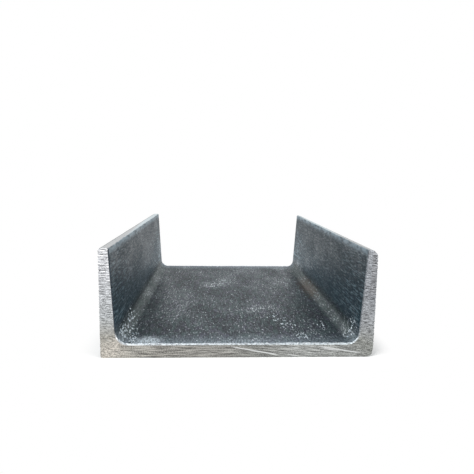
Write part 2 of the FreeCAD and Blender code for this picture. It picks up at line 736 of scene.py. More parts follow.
@dataclass(frozen=True)
class SawCut:
    """How the blade crossed the section. Its marks are nearly level, and lean on the web and the left heel.

    A bandsaw for this stock has teeth 6 to 8 mm apart and leaves lines 0.05 to 0.2 mm apart. Lines that fine
    can't show in a picture of the whole bar, so they are drawn about 0.4 mm apart, and the teeth's chatter,
    which is really that coarse, at its own pitch.
    """

    web_fall: float = 0.115
    heel_fall: Fade = Fade("z", 26.0, 13.0, 0.0, 0.24)
    heel_x: float = -61.0
    web_reach: float = 60.0
    web_stretch: float = 3.5
    between_ends: float = 400.0
    lines: Grain = Grain((3.0, 50.0, 0.42), 11.0, at="level")
    broad: Grain = Grain((40.0, 50.0, 1.5), 12.0, at="level")
    tooth_pitch: float = 1.34
    tooth_drift: float = 1.2
    wave_top: float = 0.9
    drift: Grain = Grain((5.0, 50.0, 5.0), 15.0, 1.0, at="level")
    bite: Fade = Fade(Grain((3.0, 50.0, 1.0), 16.0, 1.0, at="level"), 0.28, 0.5, 0.4, 1.0)
    shaken: Fade = Fade("z", 22.0, 42.0, 0.5, 1.0)
    at_heel: Product = Product((Fade("x", -54.0, -61.0), Fade("z", 24.0, 11.0)))
    heel_dulling: float = 0.7
    near: Made = Made(Kind.LESS_THAN, ("y", 0.0))
    # Along the right flange's outer edge the blade ran deeper, in a strip that narrows upwards.
    strip: Product = Product((Fade(Sum((("x", 1.0), ("z", -0.045))), 64.625, 65.125), Fade("z", 31.0, 35.0)))

    def lay_out(self, wiring: Wiring) -> None:
        """Make known the coordinates in which the blade's marks are level, and the cut's own patterns.

        Args:
            wiring: Shader or geometry tree.
        """
        to_right = wiring.add(Kind.MAXIMUM, "x", 0.0)
        to_left = wiring.add(Kind.MINIMUM, Sum((("x", 1.0),), -self.heel_x), 0.0)
        height = wiring.add(Kind.MULTIPLY_ADD, to_right, self.web_fall, "z")
        height = wiring.add(Kind.MULTIPLY_ADD, to_left, self.heel_fall, height)
        # The two ends lie far apart in the noise, so each has marks of its own.
        end = wiring.add(Kind.MULTIPLY, wiring.add(Kind.SIGN, "y"), self.between_ends)
        # Over the web the marks are drawn out along X.
        on_web = wiring.add(Kind.MINIMUM, wiring.add(Kind.MAXIMUM, "x", -self.web_reach), self.web_reach)
        run = Sum(((on_web, 1 / self.web_stretch - 1),), "x")
        wiring.known.update(level=wiring.add(Kind.VECTOR, run, end, height), level_height=height)
        wiring.know(self)

    def chatter(self, wiring: Wiring) -> Socket:
        """Share of the short dark lines that the teeth left, deepest where the blade shook near the toes.

        Args:
            wiring: Tree in which the cut is laid out.

        Returns:
            Output with the share.
        """
        turns = Sum((("level_height", 1 / self.tooth_pitch), ("drift", self.tooth_drift)))
        wave = wiring.add(Kind.SINE, wiring.add(Kind.MULTIPLY, turns, math.tau))
        sharp = Sum((("at_heel", -self.heel_dulling),), 1.0)
        return Product((Fade(wave, 0.0, self.wave_top), "bite", "shaken", sharp)).wire(wiring)


@dataclass(frozen=True)
class Nick(Pattern):
    """Short groove across a flange's near sawn end, where a tooth dug in. It starts at the outer face."""

    side: Side
    height: float
    reach: float
    width: float = 0.55
    depth: float = 0.35
    run_out: float = 0.5

    def wire(self, wiring: Wiring) -> Socket:
        """Measure how far a place lies from the nick, and fade with it.

        Args:
            wiring: Tree to add to.

        Returns:
            Output with the nick's share, 1 at its bottom.
        """
        inwards = Sum((("x", -float(self.side)),), "half_depth")
        off = Made(Kind.ABSOLUTE, (Sum((("z", 1.0),), -self.height),))
        along = Fade(inwards, self.reach + self.run_out, self.reach - self.run_out)
        return Product((along, Fade(off, self.width, 0.0), "near")).wire(wiring)


@dataclass(frozen=True)
class Scratch(Pattern):
    """Bright straight scratch over the near sawn end, from one X and Z to another, tapered at both ends.

    It reaches its width to either side, and is bright all over in its core, which is a share of that.
    """

    start: tuple[float, float]
    end: tuple[float, float]
    width: float = 0.35
    core: float = 0.25
    taper: float = 4.0

    def wire(self, wiring: Wiring) -> Socket:
        """Measure how far a place lies along the scratch and beside it, and fade with both.

        Args:
            wiring: Tree to add to.

        Returns:
            Output with the scratch's share.
        """
        start, way = Vector(self.start), Vector(self.end) - Vector(self.start)
        length = way.length
        way.normalize()
        run = Sum((("x", way.x), ("z", way.y)), -start.dot(way)).wire(wiring)
        off = Sum((("x", -way.y), ("z", way.x)), start.x * way.y - start.y * way.x)
        across = Fade(wiring.add(Kind.ABSOLUTE, off), self.width, self.width * self.core)
        ends = (Fade(run, 0.0, self.taper), Fade(run, length, length - self.taper))
        return Product((across, *ends, "near")).wire(wiring)


NICKS = (
    Nick(Side.LEFT, 53.0, 2.4),
    Nick(Side.LEFT, 45.2, 4.2),
    Nick(Side.LEFT, 38.8, 3.2, depth=0.2),
    Nick(Side.LEFT, 36.0, 1.3),
    Nick(Side.RIGHT, 30.8, 2.2),
    Nick(Side.RIGHT, 51.8, 1.0),
    Nick(Side.RIGHT, 49.8, 1.4, depth=0.25),
)

SCRATCHES = (
    Scratch((-4.6, 5.9), (21.3, 1.1), 0.42),
    Scratch((40.0, 5.9), (64.5, 2.0), 0.38),
    Scratch((42.0, 5.0), (52.0, 3.3), 0.3),
    Scratch((24.0, 1.5), (32.0, 0.7), 0.3),
    Scratch((-68.1, 10.5), (-63.9, 8.1), 0.3),
    Scratch((25.0, 5.2), (33.0, 4.4), 0.25),
)


@dataclass(frozen=True)
class RolledFinish:
    """Hot rolled stainless steel, pickled.

    Pickling leaves a dull blue-grey skin, clouded and finely speckled with bare metal. Its grain is drawn out
    along the bar by the rolls. The toes are rubbed pale where bars were dragged and stacked, and a little
    brown runs along one root.
    """

    # The eye gets a satin skin that is bluer on the flanges and darkened there by painted shade,
    # and paler and plainer outside.
    # Pickling etches grain some 0.05 mm wide. The speckle and the grain draw it 0.5 to 0.8 mm wide, longer
    # along Y as the rolls leave it, which is the finest that still shows in a picture of the whole bar.
    cloud: Grain = Grain((18.0, 32.0, 18.0), 1.0, 3.0)
    mottle: Grain = Grain((1.5, 4.0, 1.5), 2.0, 3.0)
    speckle: Grain = Grain((0.8, 2.4, 0.8), 3.0, 1.0)
    grain: Grain = Grain((0.45, 1.2, 0.45), 4.0, 1.0)
    streaks: Grain = Grain((0.75, 7.0, 0.75), 5.0, 1.0)
    hue: Grain = Grain((2.6, 7.0, 2.6), 6.0, 1.0)
    rolled: Grain = Grain((0.6, 90.0, 0.6), 7.0, 1.0)
    dragging: Grain = Grain((4.0, 26.0, 2.2), 8.0, 3.0)

    inside: Fade = Fade("from_face", 0.6, 2.0)
    underneath: Fade = Fade("z", 0.6, 0.2)
    outside: Made = Made(Kind.MAXIMUM, (Sum((("inside", -1.0),), 1.0), "underneath"))
    on_flange: Fade = Fade("above_web", 4.0, 11.65)
    on_web: Product = Product(("inside", Sum((("on_flange", -1.0),), 1.0)))
    # Painted shade, deepening up the flanges' inner faces towards the toes.
    up_flange: Fade = Fade("above_root", 0.0, 33.45, 0.0, 0.4)
    broken: Fade = Fade("speckle", 0.36, 0.58, 0.35, 1.0)
    # Painted shade over the inner faces: darker on the flanges, and more so higher up them.
    shade: Sum = Sum(((Product(("inside", Sum((("on_flange", 0.16),), "up_flange"))), -1.0),), 1.0)
    inner_tone: Fade = Fade(Sum((("cloud", 0.26), ("mottle", 0.18), ("speckle", 0.28), ("grain", 0.16),
                                 ("streaks", 0.12))), 0.38, 0.62)
    outer_tone: Fade = Fade(Sum((("cloud", 0.3), ("mottle", 0.25), ("grain", 0.2), ("rolled", 0.25))),
                            0.34, 0.66)
    height: Sum = Sum((("mottle", 0.5), ("speckle", 0.3), ("grain", 0.2)))

    inner_steps: Steps = ((0.0, "#141C22"), (0.42, "#202A32"), (0.85, "#434E57"), (1.0, "#CBD3D8"))
    outer_steps: Steps = ((0.0, "#424A50"), (0.5, "#666F76"), (1.0, "#8A9399"))
    inner_layers: tuple[Layer, ...] = (
        # Greenish and violet casts of the pickled skin.
        Layer("#3F5455", Fade("hue", 0.45, 0.65, 0.0, 0.55)),
        Layer("#55546A", Fade("hue", 0.46, 0.3, 0.0, 0.3)),
        # Specks of bare metal, thinner towards the far end.
        Layer("#CBD3D8", Product((Fade("speckle", 0.60, 0.72), Fade("mottle", 0.38, 0.60),
                                  Fade("y", -60.0, 10.0, 0.75, 0.35)))),
        # The flanges are bluer and the roots greener than the web.
        Layer("#264E60", Product(("on_flange", 0.55))),
        Layer("#3C4B49", Product((Fade("past_flat", -2.0, 3.0), Fade("above_root", 3.0, -2.0), 0.45))),
    )
    outer_layers: tuple[Layer, ...] = (
        # Scuffs of dragging.
        Layer("#A6AEB4", Product((Fade("dragging", 0.56, 0.7), Fade("grain", 0.35, 0.6), 0.5))),
    )
    wear_layers: tuple[Layer, ...] = (
        # Drawn streaks up the inner faces of the flanges.
        Layer("#86A0AC", Product((Fade("streaks", 0.5, 0.66), "on_flange", "inside",
                                  Fade("from_end", 60.0, 5.0, 0.2, 0.72), Fade("z", 52.0, 26.0, 0.3, 1.0)))),
        # The web paler and bluer near its ends: painted light, as it falls into the mouths of the hollow.
        Layer("#8D9BA6", Product((Fade("from_end", 18.0, -4.0), "on_web", "broken", 0.75))),
        # A scuffed place by the left root, and a brown streak along the right one.
        Layer("#C4D0D8", Product((Patch((-47.0, -96.0, 7.2), (9.0, 9.0, 5.0)), "broken"))),
        Layer("#4C3A28", Product((Patch((58.0, 14.0, 9.0), (7.0, 38.0, 6.0)), 0.5))),
        # Pale band under the toes.
        Layer("#7F909A", Product((Fade("below_toe", 4.5, 1.0), "inside", Fade("hue", 0.3, 0.6, 0.3, 1.0)))),
    )

    # The toes' tops are rubbed, more so beyond a slanting line. Each pair is the outer edge and the rest.
    on_top: Fade = Fade(Sum((("mottle", 0.8), ("below_toe", -1.0))), 0.0, 0.35)
    off_edge: Fade = Fade("from_face", 0.8, 2.2)
    past_line: Fade = Fade(Sum((("from_face", 23.0), ("y", 1.0))), 37.4, 92.4)
    rub_breaks: Fade = Fade("speckle", 0.1, 0.5, 0.6, 1.0)
    near_toe: tuple[str, str] = ("#77797A", "#B4B6B7")
    far_toe: tuple[str, str] = ("#85898B", "#C2CDD1")

    roughness: Fade = Fade(Between("outside", "inner_tone", "outer_tone"), 0.0, 1.0, 0.58, 0.40)
    grain_depth: float = 0.05
    metallic: float = 0.75

    def material(self, section: RolledSection, length: float) -> Material:
        """Build the finish's material.

        Args:
            section: Section of the bar, which places toes and roots.
            length: Length of the bar, which places its ends.

        Returns:
            The material.
        """
        wiring = MaterialWiring("pickled_rolled_steel")
        wiring.known.update(section.measures(length))
        wiring.know(self)
        inner = wiring.lay(wiring.add(Kind.STEPS, "inner_tone", steps=self.inner_steps), self.inner_layers)
        outer = wiring.lay(wiring.add(Kind.STEPS, "outer_tone", steps=self.outer_steps), self.outer_layers)
        # The inner skin is darkened by its painted shade before the outer skin is blended in.
        colour = wiring.add(Kind.BLEND, "outside", wiring.add(Kind.VECTOR_SCALE, inner, "shade"), outer)
        colour = wiring.lay(colour, self.wear_layers)
        toes = [wiring.add(Kind.BLEND, "off_edge", *pair) for pair in (self.near_toe, self.far_toe)]
        rubbed = wiring.add(Kind.BLEND, "past_line", *toes)
        colour = wiring.add(Kind.BLEND, Product(("on_top", "rub_breaks")), colour, rubbed)
        return wiring.close_metal(colour, "roughness", "height", self.grain_depth, self.metallic)


@dataclass(frozen=True)
class SawnFinish:
    """Stainless steel cut by a bandsaw: clean bright metal in fine lines, not polished.

    Its tones are partly painted light: white on the left flange and darker towards the right, as light falls
    across the flat cut. It is tinted brownish at the left heel and on the web, and a cooler grey on the right
    flange. At the left heel the blade ran blunt, and its lines break up.
    """

    # The eye gets broken bright and dark lines that glint with the view. The finest are really under 0.1 mm
    # wide, and are drawn 0.3 mm wide so that they show.
    mark: Made = Made(Kind.MARK)
    course: Made = Made(Kind.COURSE)
    fine: Grain = Grain((2.6, 50.0, 0.3), 13.0, at="level")
    grain: Grain = Grain((0.5, 50.0, 0.5), 14.0)
    coarse: Grain = Grain((1.5, 50.0, 0.8), 17.0)
    even: Sum = Sum((("lines", 0.22), ("broad", 0.03), ("fine", 0.39), ("grain", 0.36)))
    blunt: Sum = Sum((("coarse", 0.3), ("grain", 0.22)), 0.24)
    tone: Fade = Fade(Between(Product(("at_heel", 0.75)), "even", "blunt"), 0.375, 0.61)
    # What the blade dug out is darker, and so are the nicks: painted shade in those grooves. The foot of the
    # web is darker too.
    light: Product = Product((Fade("tone", 0.0, 1.0, 0.37, 1.58), Fade("mark", 0.0, 1.0, 0.75, 1.08),
                              Fade("mark", -0.8, 0.0, 0.4, 1.0), Fade("z", 0.4, 1.7, 0.86, 1.0)))
    roughness: Fade = Fade("tone", 0.0, 1.0, 0.52, 0.38)
    # Tones from the left toe, round by the web, to the right toe. They are partly painted light, brightest on
    # the left flange and darker to the right, as light falls across the flat cut.
    along_section: Steps = (
        (0.00, "#DDDFE3"), (0.06, "#D0D2D6"), (0.14, "#B5B9BB"), (0.185, "#A4A29B"), (0.225, "#BEB9B1"),
        (0.29, "#A6A49E"), (0.33, "#989691"), (0.47, "#999894"), (0.535, "#8A8B88"), (0.64, "#A7A9A7"),
        (0.73, "#929492"), (0.79, "#929490"), (0.84, "#9FA2A5"), (0.90, "#999CA1"), (1.00, "#B1B5BA"),
    )
    outer_strip: str = "#8F8F91"
    strip_share: float = 0.5
    scratched: str = "#E4E6E7"
    scratch_share: float = 0.8
    line_depth: float = 0.035
    metallic: float = 0.9

    def material(self, cut: SawCut) -> Material:
        """Build the finish's material, which reads the relief's mark attribute.

        Args:
            cut: How the blade crossed the section.

        Returns:
            The material.
        """
        wiring = MaterialWiring("bandsawn_steel")
        cut.lay_out(wiring)
        wiring.know(self)
        colour = wiring.add(Kind.STEPS, "course", steps=self.along_section)
        colour = wiring.lay(colour, [Layer(self.outer_strip, Product(("strip", self.strip_share)))])
        scratches = [Layer(self.scratched, Product((scratch, self.scratch_share))) for scratch in SCRATCHES]
        colour = wiring.lay(wiring.add(Kind.VECTOR_SCALE, colour, "light"), scratches)
        return wiring.close_metal(colour, "roughness", "tone", self.line_depth, self.metallic)


@dataclass(frozen=True)
class FiledFinish:
    """Stainless steel bared by a file. It is partly painted light: brightest at the roots and on the web,
    where the bevel faces the light from above, and dull on the flanges.
    """

    # The eye gets a thin bright line round the hollow. A file's strokes are really 0.3 mm wide, and are drawn
    # 1.1 mm wide so that they show as breaks in that line.
    course: Made = Made(Kind.COURSE)
    strokes: Grain = Grain((1.1, 1.1, 1.1), 21.0)
    light: Fade = Fade("strokes", 0.38, 0.56, 0.5, 1.0)
    roughness: Fade = Fade("strokes", 0.3, 0.7, 0.6, 0.45)
    # Tones round the section, partly painted light: brightest where the bevel faces up, at the roots and on
    # the web.
    along_section: Steps = (
        (0.0, "#3C464E"), (0.17, "#4A545C"), (0.19, "#F2F5F7"), (0.26, "#B4B9BD"), (0.74, "#C8D1D5"),
        (0.795, "#AEB4B8"), (0.82, "#A6ACB0"), (0.84, "#8E9398"), (1.0, "#8A8F95"),
    )
    stroke_depth: float = 0.02

    def material(self) -> Material:
        """Build the finish's material.

        Returns:
            The material.
        """
        wiring = MaterialWiring("filed_bevel_steel")
        wiring.know(self)
        colour = wiring.add(Kind.STEPS, "course", steps=self.along_section)
        colour = wiring.add(Kind.VECTOR_SCALE, colour, "light")
        return wiring.close_metal(colour, "roughness", "strokes", self.stroke_depth, 1.0)


@dataclass(frozen=True)
class BareFinish:
    """Bare stainless steel on what the saw tore up or a knock flattened: the brightest metal on the bar."""

    # The eye gets small glints, shaded unevenly. A lump's own facets are finer than the 0.9 mm drawn here.
    name: str
    shaded: str
    bright: str
    facets: Grain = Grain((0.9, 0.9, 0.9), 22.0)
    roughness: Fade = Fade("facets", 0.3, 0.7, 0.42, 0.28)
    facet_depth: float = 0.02

    def material(self) -> Material:
        """Build the finish's material.

        Returns:
            The material.
        """
        wiring = MaterialWiring(self.name)
        wiring.know(self)
        colour = wiring.add(Kind.STEPS, "facets", steps=((0.4, self.shaded), (0.6, self.bright)))
        return wiring.close_metal(colour, "roughness", "facets", self.facet_depth, 1.0)


@dataclass(frozen=True)
class Relief:
    """Small shape that rolling, sawing and handling leave on the bar, cut by Geometry Nodes."""

    section: RolledSection
    cut: SawCut
    mark_depth: float = 0.07
    strip_depth: float = 0.15
    nibble_depth: float = 0.38
    nick_nibble: float = 0.8
    worn_depth: float = 0.9
    ripple_depth: float = 0.08
    on_end: float = 0.001
    scored: Fade = Fade("lines", 0.35, 0.62)
    nibbled: Fade = Fade(Grain((2.48, 50.0, 0.62), 3.0, at="level"), 0.40, 0.70)
    by_end: Fade = Fade("from_end", 1.6, 0.0)
    ripple: Grain = Grain((14.0, 40.0, 14.0), 4.0)
    # The near right heel is worn rounder than the rolls left it.
    worn: Product = Product((Fade("x", 66.0, 69.5), Fade("z", 6.0, 0.0), Fade("from_end", 4.0, 0.0), "near",
                             "Worn depth"))

    def tree(self, length: float, materials: dict[Face, Material]) -> GeometryWiring:
        """Build the tree that cuts the relief and dresses the faces.

        Args:
            length: Length of the bar.
            materials: Material of each kind of face.

        Returns:
            The tree.
        """
        sizes = {"Half length": length / 2, "Mark depth": self.mark_depth, "Strip depth": self.strip_depth,
                 "Nibble depth": self.nibble_depth, "Ripple depth": self.ripple_depth,
                 "Worn depth": self.worn_depth}
        wiring = GeometryWiring("mill_and_saw_relief", sizes)
        self.cut.lay_out(wiring)
        wiring.know(self)
        wiring.known.update(half_depth=self.section.depth / 2,
                            from_end=wiring.add(Kind.SUBTRACT, "Half length", "along"))
        stored = {"inward": Kind.STORED_VECTOR, "outer": Kind.STORED_FLOAT, "finish": Kind.STORED_INT}
        wiring.known.update({name: wiring.add(kind, name) for name, kind in stored.items()})
        nicked, deep = 0.0, 0.0
        for nick in NICKS:
            here = nick.wire(wiring)
            nicked = wiring.add(Kind.MAXIMUM, here, nicked)
            deep = wiring.add(Kind.MAXIMUM, Product((here, nick.depth)), deep)

        # The saw's lines, the deeper strip and the nicks go into the end faces, along Y.
        left_standing = wiring.add(Kind.SUBTRACT, "scored", self.cut.chatter(wiring))
        dug = Product((Sum(((left_standing, -1.0),), 1.0), "Mark depth"))
        dug = wiring.add(Kind.ADD, wiring.add(Kind.MULTIPLY_ADD, "strip", "Strip depth", dug), deep)
        on_end = wiring.add(Kind.LESS_THAN, "from_end", self.on_end)
        into_end = wiring.add(Kind.VECTOR, 0.0, Product((dug, wiring.add(Kind.SIGN, "y"), on_end, -MM)), 0.0)

        # Nibbles and wear go into the outer edges, and the rolls' ripple into every long face.
        nibble = wiring.add(Kind.MULTIPLY_ADD, deep, self.nick_nibble, Product(("nibbled", "Nibble depth")))
        off_edge = Product((wiring.add(Kind.MULTIPLY_ADD, nibble, "by_end", "worn"), "outer"))
        inwards = wiring.add(Kind.MULTIPLY_ADD, "ripple", "Ripple depth", off_edge)
        into_side = wiring.add(Kind.VECTOR_SCALE, "inward", Product((inwards, MM)))

        marks = wiring.add(Kind.SUBTRACT, left_standing, nicked)
        shaped = wiring.add(Kind.STORE_FLOAT, "Geometry", "mark", marks)
        shaped = wiring.add(Kind.SET_POSITION, shaped, wiring.add(Kind.VECTOR_ADD, into_end, into_side))
        wiring.close(shaped, {wiring.add(Kind.SAME_INT, "finish", int(face)): material
                              for face, material in materials.items()})
        return wiring


@dataclass(frozen=True)
class ChannelBar:
    """The bar itself: one closed mesh, swept from the section's stations in rows along its length.

    One row is a ring: the outer points, the right toe, the inner points back again, and the left toe. The
    points of all rings come first, then those inside the near end's ring, and those inside the far end's.
    """

    section: RolledSection
    length: float
    bevel: float = 0.5
    cells_across: int = 24
    edge_share: float = 0.3
    end_rows: tuple[float, ...] = (0.0, 0.5, 1.0, 1.8, 3.0, 5.0, 8.0, 12.0)
    row_pitch: float = 9.0
    smooth_below: float = math.radians(30)

    def rows(self) -> np.ndarray:
        """Place the rows of the sweep, closer together near the ends.

        Returns:
            Y of each row.
        """
        near = -self.length / 2 + np.array(self.end_rows)
        count = math.ceil(-2 * near[-1] / self.row_pitch)
        middle = np.linspace(near[-1], -near[-1], count + 1)[1:-1]
        return np.concatenate([near, middle, -near[::-1]])

    def bevelled(self, stations: Stations) -> Stations:
        """Stations at a sawn end, where the filed bevel moves the inner points into the metal.

        Args:
            stations: Stations away from the ends.

        Returns:
            The stations with their inner points moved.
        """
        along = np.gradient(stations.inner, axis=0)
        out = np.column_stack([along[:, 1], -along[:, 0]])
        out /= np.linalg.norm(out, axis=1)[:, None]
        below_toe = (self.section.width - stations.inner[:, 1]) / self.section.left.inner_toe
        return Stations(stations.outer, stations.inner + out * self.bevel * np.clip(below_toe, 0, 1)[:, None])

    def shares(self) -> np.ndarray:
        """How far across the metal the points between an outer and an inner point lie."""
        return np.linspace(0, 1, self.cells_across + 1)[1:-1, None]

    def ring(self, stations: Stations) -> np.ndarray:
        """Go once round the stations of one row.

        Args:
            stations: The row's stations.

        Returns:
            Closed outline, as X and Z.
        """
        outer, inner = stations.outer, stations.inner
        right_toe = outer[-1] + (inner[-1] - outer[-1]) * self.shares()
        left_toe = inner[0] + (outer[0] - inner[0]) * self.shares()
        return np.vstack([outer, right_toe, inner[::-1], left_toe])

    def first_inner(self, count: int) -> int:
        """Place in a ring of its first inner point, half of the way round, by the number of stations."""
        return count + self.cells_across - 1

    def points(self, plain: Stations) -> np.ndarray:
        """Place all points: filed stations in the end rows, plain ones between, and the ends' insides.

        Args:
            plain: Stations away from the ends.

        Returns:
            The points, one to a row.
        """
        filed, rows = self.bevelled(plain), self.rows()
        stations = [filed, *[plain] * (len(rows) - 2), filed]
        rings = [np.insert(self.ring(row), 1, y, axis=1) for row, y in zip(stations, rows)]
        grid = filed.outer[1:-1, None] + (filed.inner - filed.outer)[1:-1, None] * self.shares()[None]
        grids = [np.insert(grid.reshape(-1, 2), 1, end * self.length / 2, axis=1) for end in End]
        return np.vstack(rings + grids)

    def courses(self, plain: Stations) -> np.ndarray:
        """How far along the section each point lies, for tones that change from toe to toe.

        Args:
            plain: Stations away from the ends.

        Returns:
            One number for each point, from 0 at the left toe to 1 at the right one.
        """
        course = np.column_stack([plain.course, plain.course])
        ring = self.ring(Stations(course, course))[:, 0]
        grid = np.repeat(plain.course[1:-1], self.cells_across - 1)
        return np.concatenate([ring] * len(self.rows()) + [grid] * len(End))

    def wear(self, plain: Stations) -> tuple[np.ndarray, np.ndarray]:
        """Tell where wear can move each point.

        Args:
            plain: Stations away from the ends.

        Returns:
            Direction into the metal at each point, and 1 for the points that an outer edge's wear moves.
        """
        count, rows = len(plain.outer), len(self.rows())
        half = self.first_inner(count)
        ring, outer = np.zeros((2 * half, 3)), np.zeros(2 * half)
        ring[:count, 0::2] = plain.across
        ring[half:half + count, 0::2] = -plain.across[::-1]
        outer[:count] = 1
        # What moves an outer edge inwards fades out over the end face beside it.
        fade = np.clip(1 - self.shares() / self.edge_share, 0, 1)
        grid = np.insert((plain.across[1:-1, None] * fade[None]).reshape(-1, 2), 1, 0, axis=1)
        inward = np.vstack([ring] * rows + [grid] * len(End))
        return inward, np.concatenate([outer] * rows + [np.ones(len(grid))] * len(End))

    def side_faces(self, count: int) -> tuple[np.ndarray, np.ndarray]:
        """Join each ring to the next.

        Args:
            count: Number of stations.

        Returns:
            The faces, and what made each.
        """
        half, gaps = self.first_inner(count), len(self.rows()) - 1
        step = np.arange(2 * half)
        after = (step + 1) % len(step)
        in_hollow = (step >= half) & (step < half + count - 1)
        faces, finishes = [], []
        for gap in range(gaps):
            here, there = gap * len(step), (gap + 1) * len(step)
            faces.append(np.column_stack([here + step, there + step, there + after, here + after]))
            beside_end = gap in (0, gaps - 1)
            finishes.append(np.where(in_hollow & beside_end, Face.FILED, Face.ROLLED))
        return np.vstack(faces), np.concatenate(finishes)

    def end_faces(self, count: int) -> np.ndarray:
        """Close both sawn ends.

        Args:
            count: Number of stations.

        Returns:
            The faces.
        """
        around = 2 * self.first_inner(count)
        rings = around * len(self.rows())
        near = self.end_index(count, 0, rings)
        far = self.end_index(count, rings - around, rings + (count - 2) * (self.cells_across - 1))
        faces = []
        for end, index in ((End.NEAR, near), (End.FAR, far)):
            quads = np.stack([index[:-1, :-1], index[1:, :-1], index[1:, 1:], index[:-1, 1:]], -1)
            quads = quads.reshape(-1, 4)
            faces.append(quads if end is End.NEAR else quads[:, ::-1])
        return np.vstack(faces)

    def end_index(self, count: int, ring_start: int, grid_start: int) -> np.ndarray:
        """Number of each point on a sawn end, by station and by place across the metal.

        Args:
            count: Number of stations.
            ring_start: Number of the first point of the end's ring.
            grid_start: Number of the first point inside that ring.

        Returns:
            One row for each station, from its outer point to its inner one.
        """
        cells = self.cells_across
        station, place = np.arange(count), np.arange(1, cells)
        index = np.empty((count, cells + 1), int)
        index[:, 0] = ring_start + station
        index[:, cells] = ring_start + 2 * count + cells - 2 - station
        index[-1, 1:cells] = ring_start + count - 1 + place
        index[0, 1:cells] = ring_start + 2 * (count + cells - 1) - place
        index[1:-1, 1:cells] = grid_start + np.arange((count - 2) * (cells - 1)).reshape(count - 2, -1)
        return index

    def swept(self) -> bpy.types.Object:
        """Sweep the section into a closed mesh, with the attributes that the relief and the finishes read.

        Returns:
            The plain bar, with finish on its faces, and inward, outer and course on its points.
        """
        plain = self.section.stations()
        sides, finishes = self.side_faces(len(plain.outer))
        ends = self.end_faces(len(plain.outer))
        finishes = np.concatenate([finishes, np.full(len(ends), Face.SAWN)])
        inward, outer = self.wear(plain)
        bar = new_piece("channel_bar", self.points(plain) * MM, [], np.vstack([sides, ends]).tolist())
        new = bar.data.attributes.new
        new("inward", "FLOAT_VECTOR", "POINT").data.foreach_set("vector", inward.ravel())
        new("outer", "FLOAT", "POINT").data.foreach_set("value", outer)
        new("course", "FLOAT", "POINT").data.foreach_set("value", self.courses(plain))
        new("finish", "INT", "FACE").data.foreach_set("value", finishes)
        return bar

    def build(self, relief: Relief, materials: dict[Face, Material]) -> bpy.types.Object:
        """Make the finished bar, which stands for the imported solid.

        Args:
            relief: Relief to cut into it.
            materials: Material of each kind of face.

        Returns:
            The bar.
        """
        bar = self.swept()
        relief.tree(self.length, materials).run(bar)
        seat(bar)
        bar.data.set_sharp_from_angle(angle=self.smooth_below)
        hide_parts(NODE)
        return bar


@dataclass(frozen=True)
class WireEdge:
    """Ragged wire edge that the saw leaves over the web and the roots at each end, run by Geometry Nodes.

    It is thin and even on the left, where it climbs the root, and torn up thicker towards the right.
    """

    section: RolledSection
    length: float
    spacing: float = 0.4
    thin: float = 0.04
    thick: float = 0.28
    lift: float = 0.1
    wander: float = 0.4
    left_climb: float = 2.2
    right_climb: float = 0.3
    sides: int = 6
    thinnest_at: float = 0.35
    thickest_at: float = 0.65
    lumps: Grain = Grain((1.3, 1.3, 1.3), 31.0, 3.0, 0.7)
    sway: Grain = Grain((1.3, 1.3, 1.3), 24.615385, 2.0, 0.5)
    torn: Fade = Fade("x", -10.0, 15.0, 1.0, 1.35)

    def path(self) -> bpy.types.Object:
        """Run lines along the web and up the roots at both ends.

        Returns:
            The lines, as a piece with edges alone.
        """
        inner = self.section.stations().inner
        climb = np.where(inner[:, 0] < 0, self.left_climb, self.right_climb)
        inner = inner[inner[:, 1] < self.section.web + climb] + (0, self.lift)
        inset = self.length / 2 - self.thick * self.torn.end - self.wander / 2
        points, edges = [], []
        for end in End:
            edges += [(len(points) + i, len(points) + i + 1) for i in range(len(inner) - 1)]
            points += [(x * MM, end * inset * MM, z * MM) for x, z in inner]
        return new_piece("wire_edge", points, edges, [])

    def tree(self, material: Material) -> GeometryWiring:
        """Build the tree that runs a bead of uneven thickness along the path.

        Args:
            material: The bead's finish.

        Returns:
            The tree.
        """
        sizes = {"Spacing": self.spacing * MM, "Thin": self.thin * MM, "Thick": self.thick * MM,
                 "Wander": self.wander * MM}
        wiring = GeometryWiring("ragged_wire_edge", sizes)
        wiring.know(self)
        curve = wiring.add(Kind.RESAMPLE, wiring.add(Kind.TO_CURVE, "Geometry"), "Spacing")
        radius = wiring.add(Kind.RANGE, "lumps", self.thinnest_at, self.thickest_at, "Thin", "Thick")
        sway = wiring.read("sway").node.outputs["Color"]
        sway = wiring.add(Kind.VECTOR_SUBTRACT, sway, Vector((0.5, 0.5, 0.5)))
        offset = wiring.add(Kind.VECTOR_SCALE, sway, Product(("torn", "Wander")))
        curve = wiring.add(Kind.SET_POSITION, curve, offset)
        profile = wiring.add(Kind.CIRCLE, self.sides, 1.0)
        bead = wiring.add(Kind.TO_MESH, curve, profile, Product((radius, "torn")), True)
        wiring.close(bead, {True: material})
        return wiring

    def build(self, material: Material) -> bpy.types.Object:
        """Make the wire edges of both ends.

        Args:
            material: Their finish.

        Returns:
            Both as one piece.
        """
        piece = self.path()
        self.tree(material).run(piece)
        seat(piece)
        return piece


@dataclass(frozen=True)
class Cluster(Pattern):
    """Place where rubbed flecks crowd.

    The centre gives X, how far in from the near end, and how high over the web. The crowd is how many more
    flecks lie on a square centimetre there. It thins out from its core, a share of its reach, to its reach.
    """

    centre: Place
    reach: float
    crowd: float
    core: float = 1 / 3

    def wire(self, wiring: Wiring) -> Socket:
        """Number of further flecks on a square centimetre."""
        away = wiring.add(Kind.DISTANCE, "place_in_hollow", Vector(self.centre))
        return Fade(away, self.reach, self.reach * self.core, 0.0, self.crowd).wire(wiring)


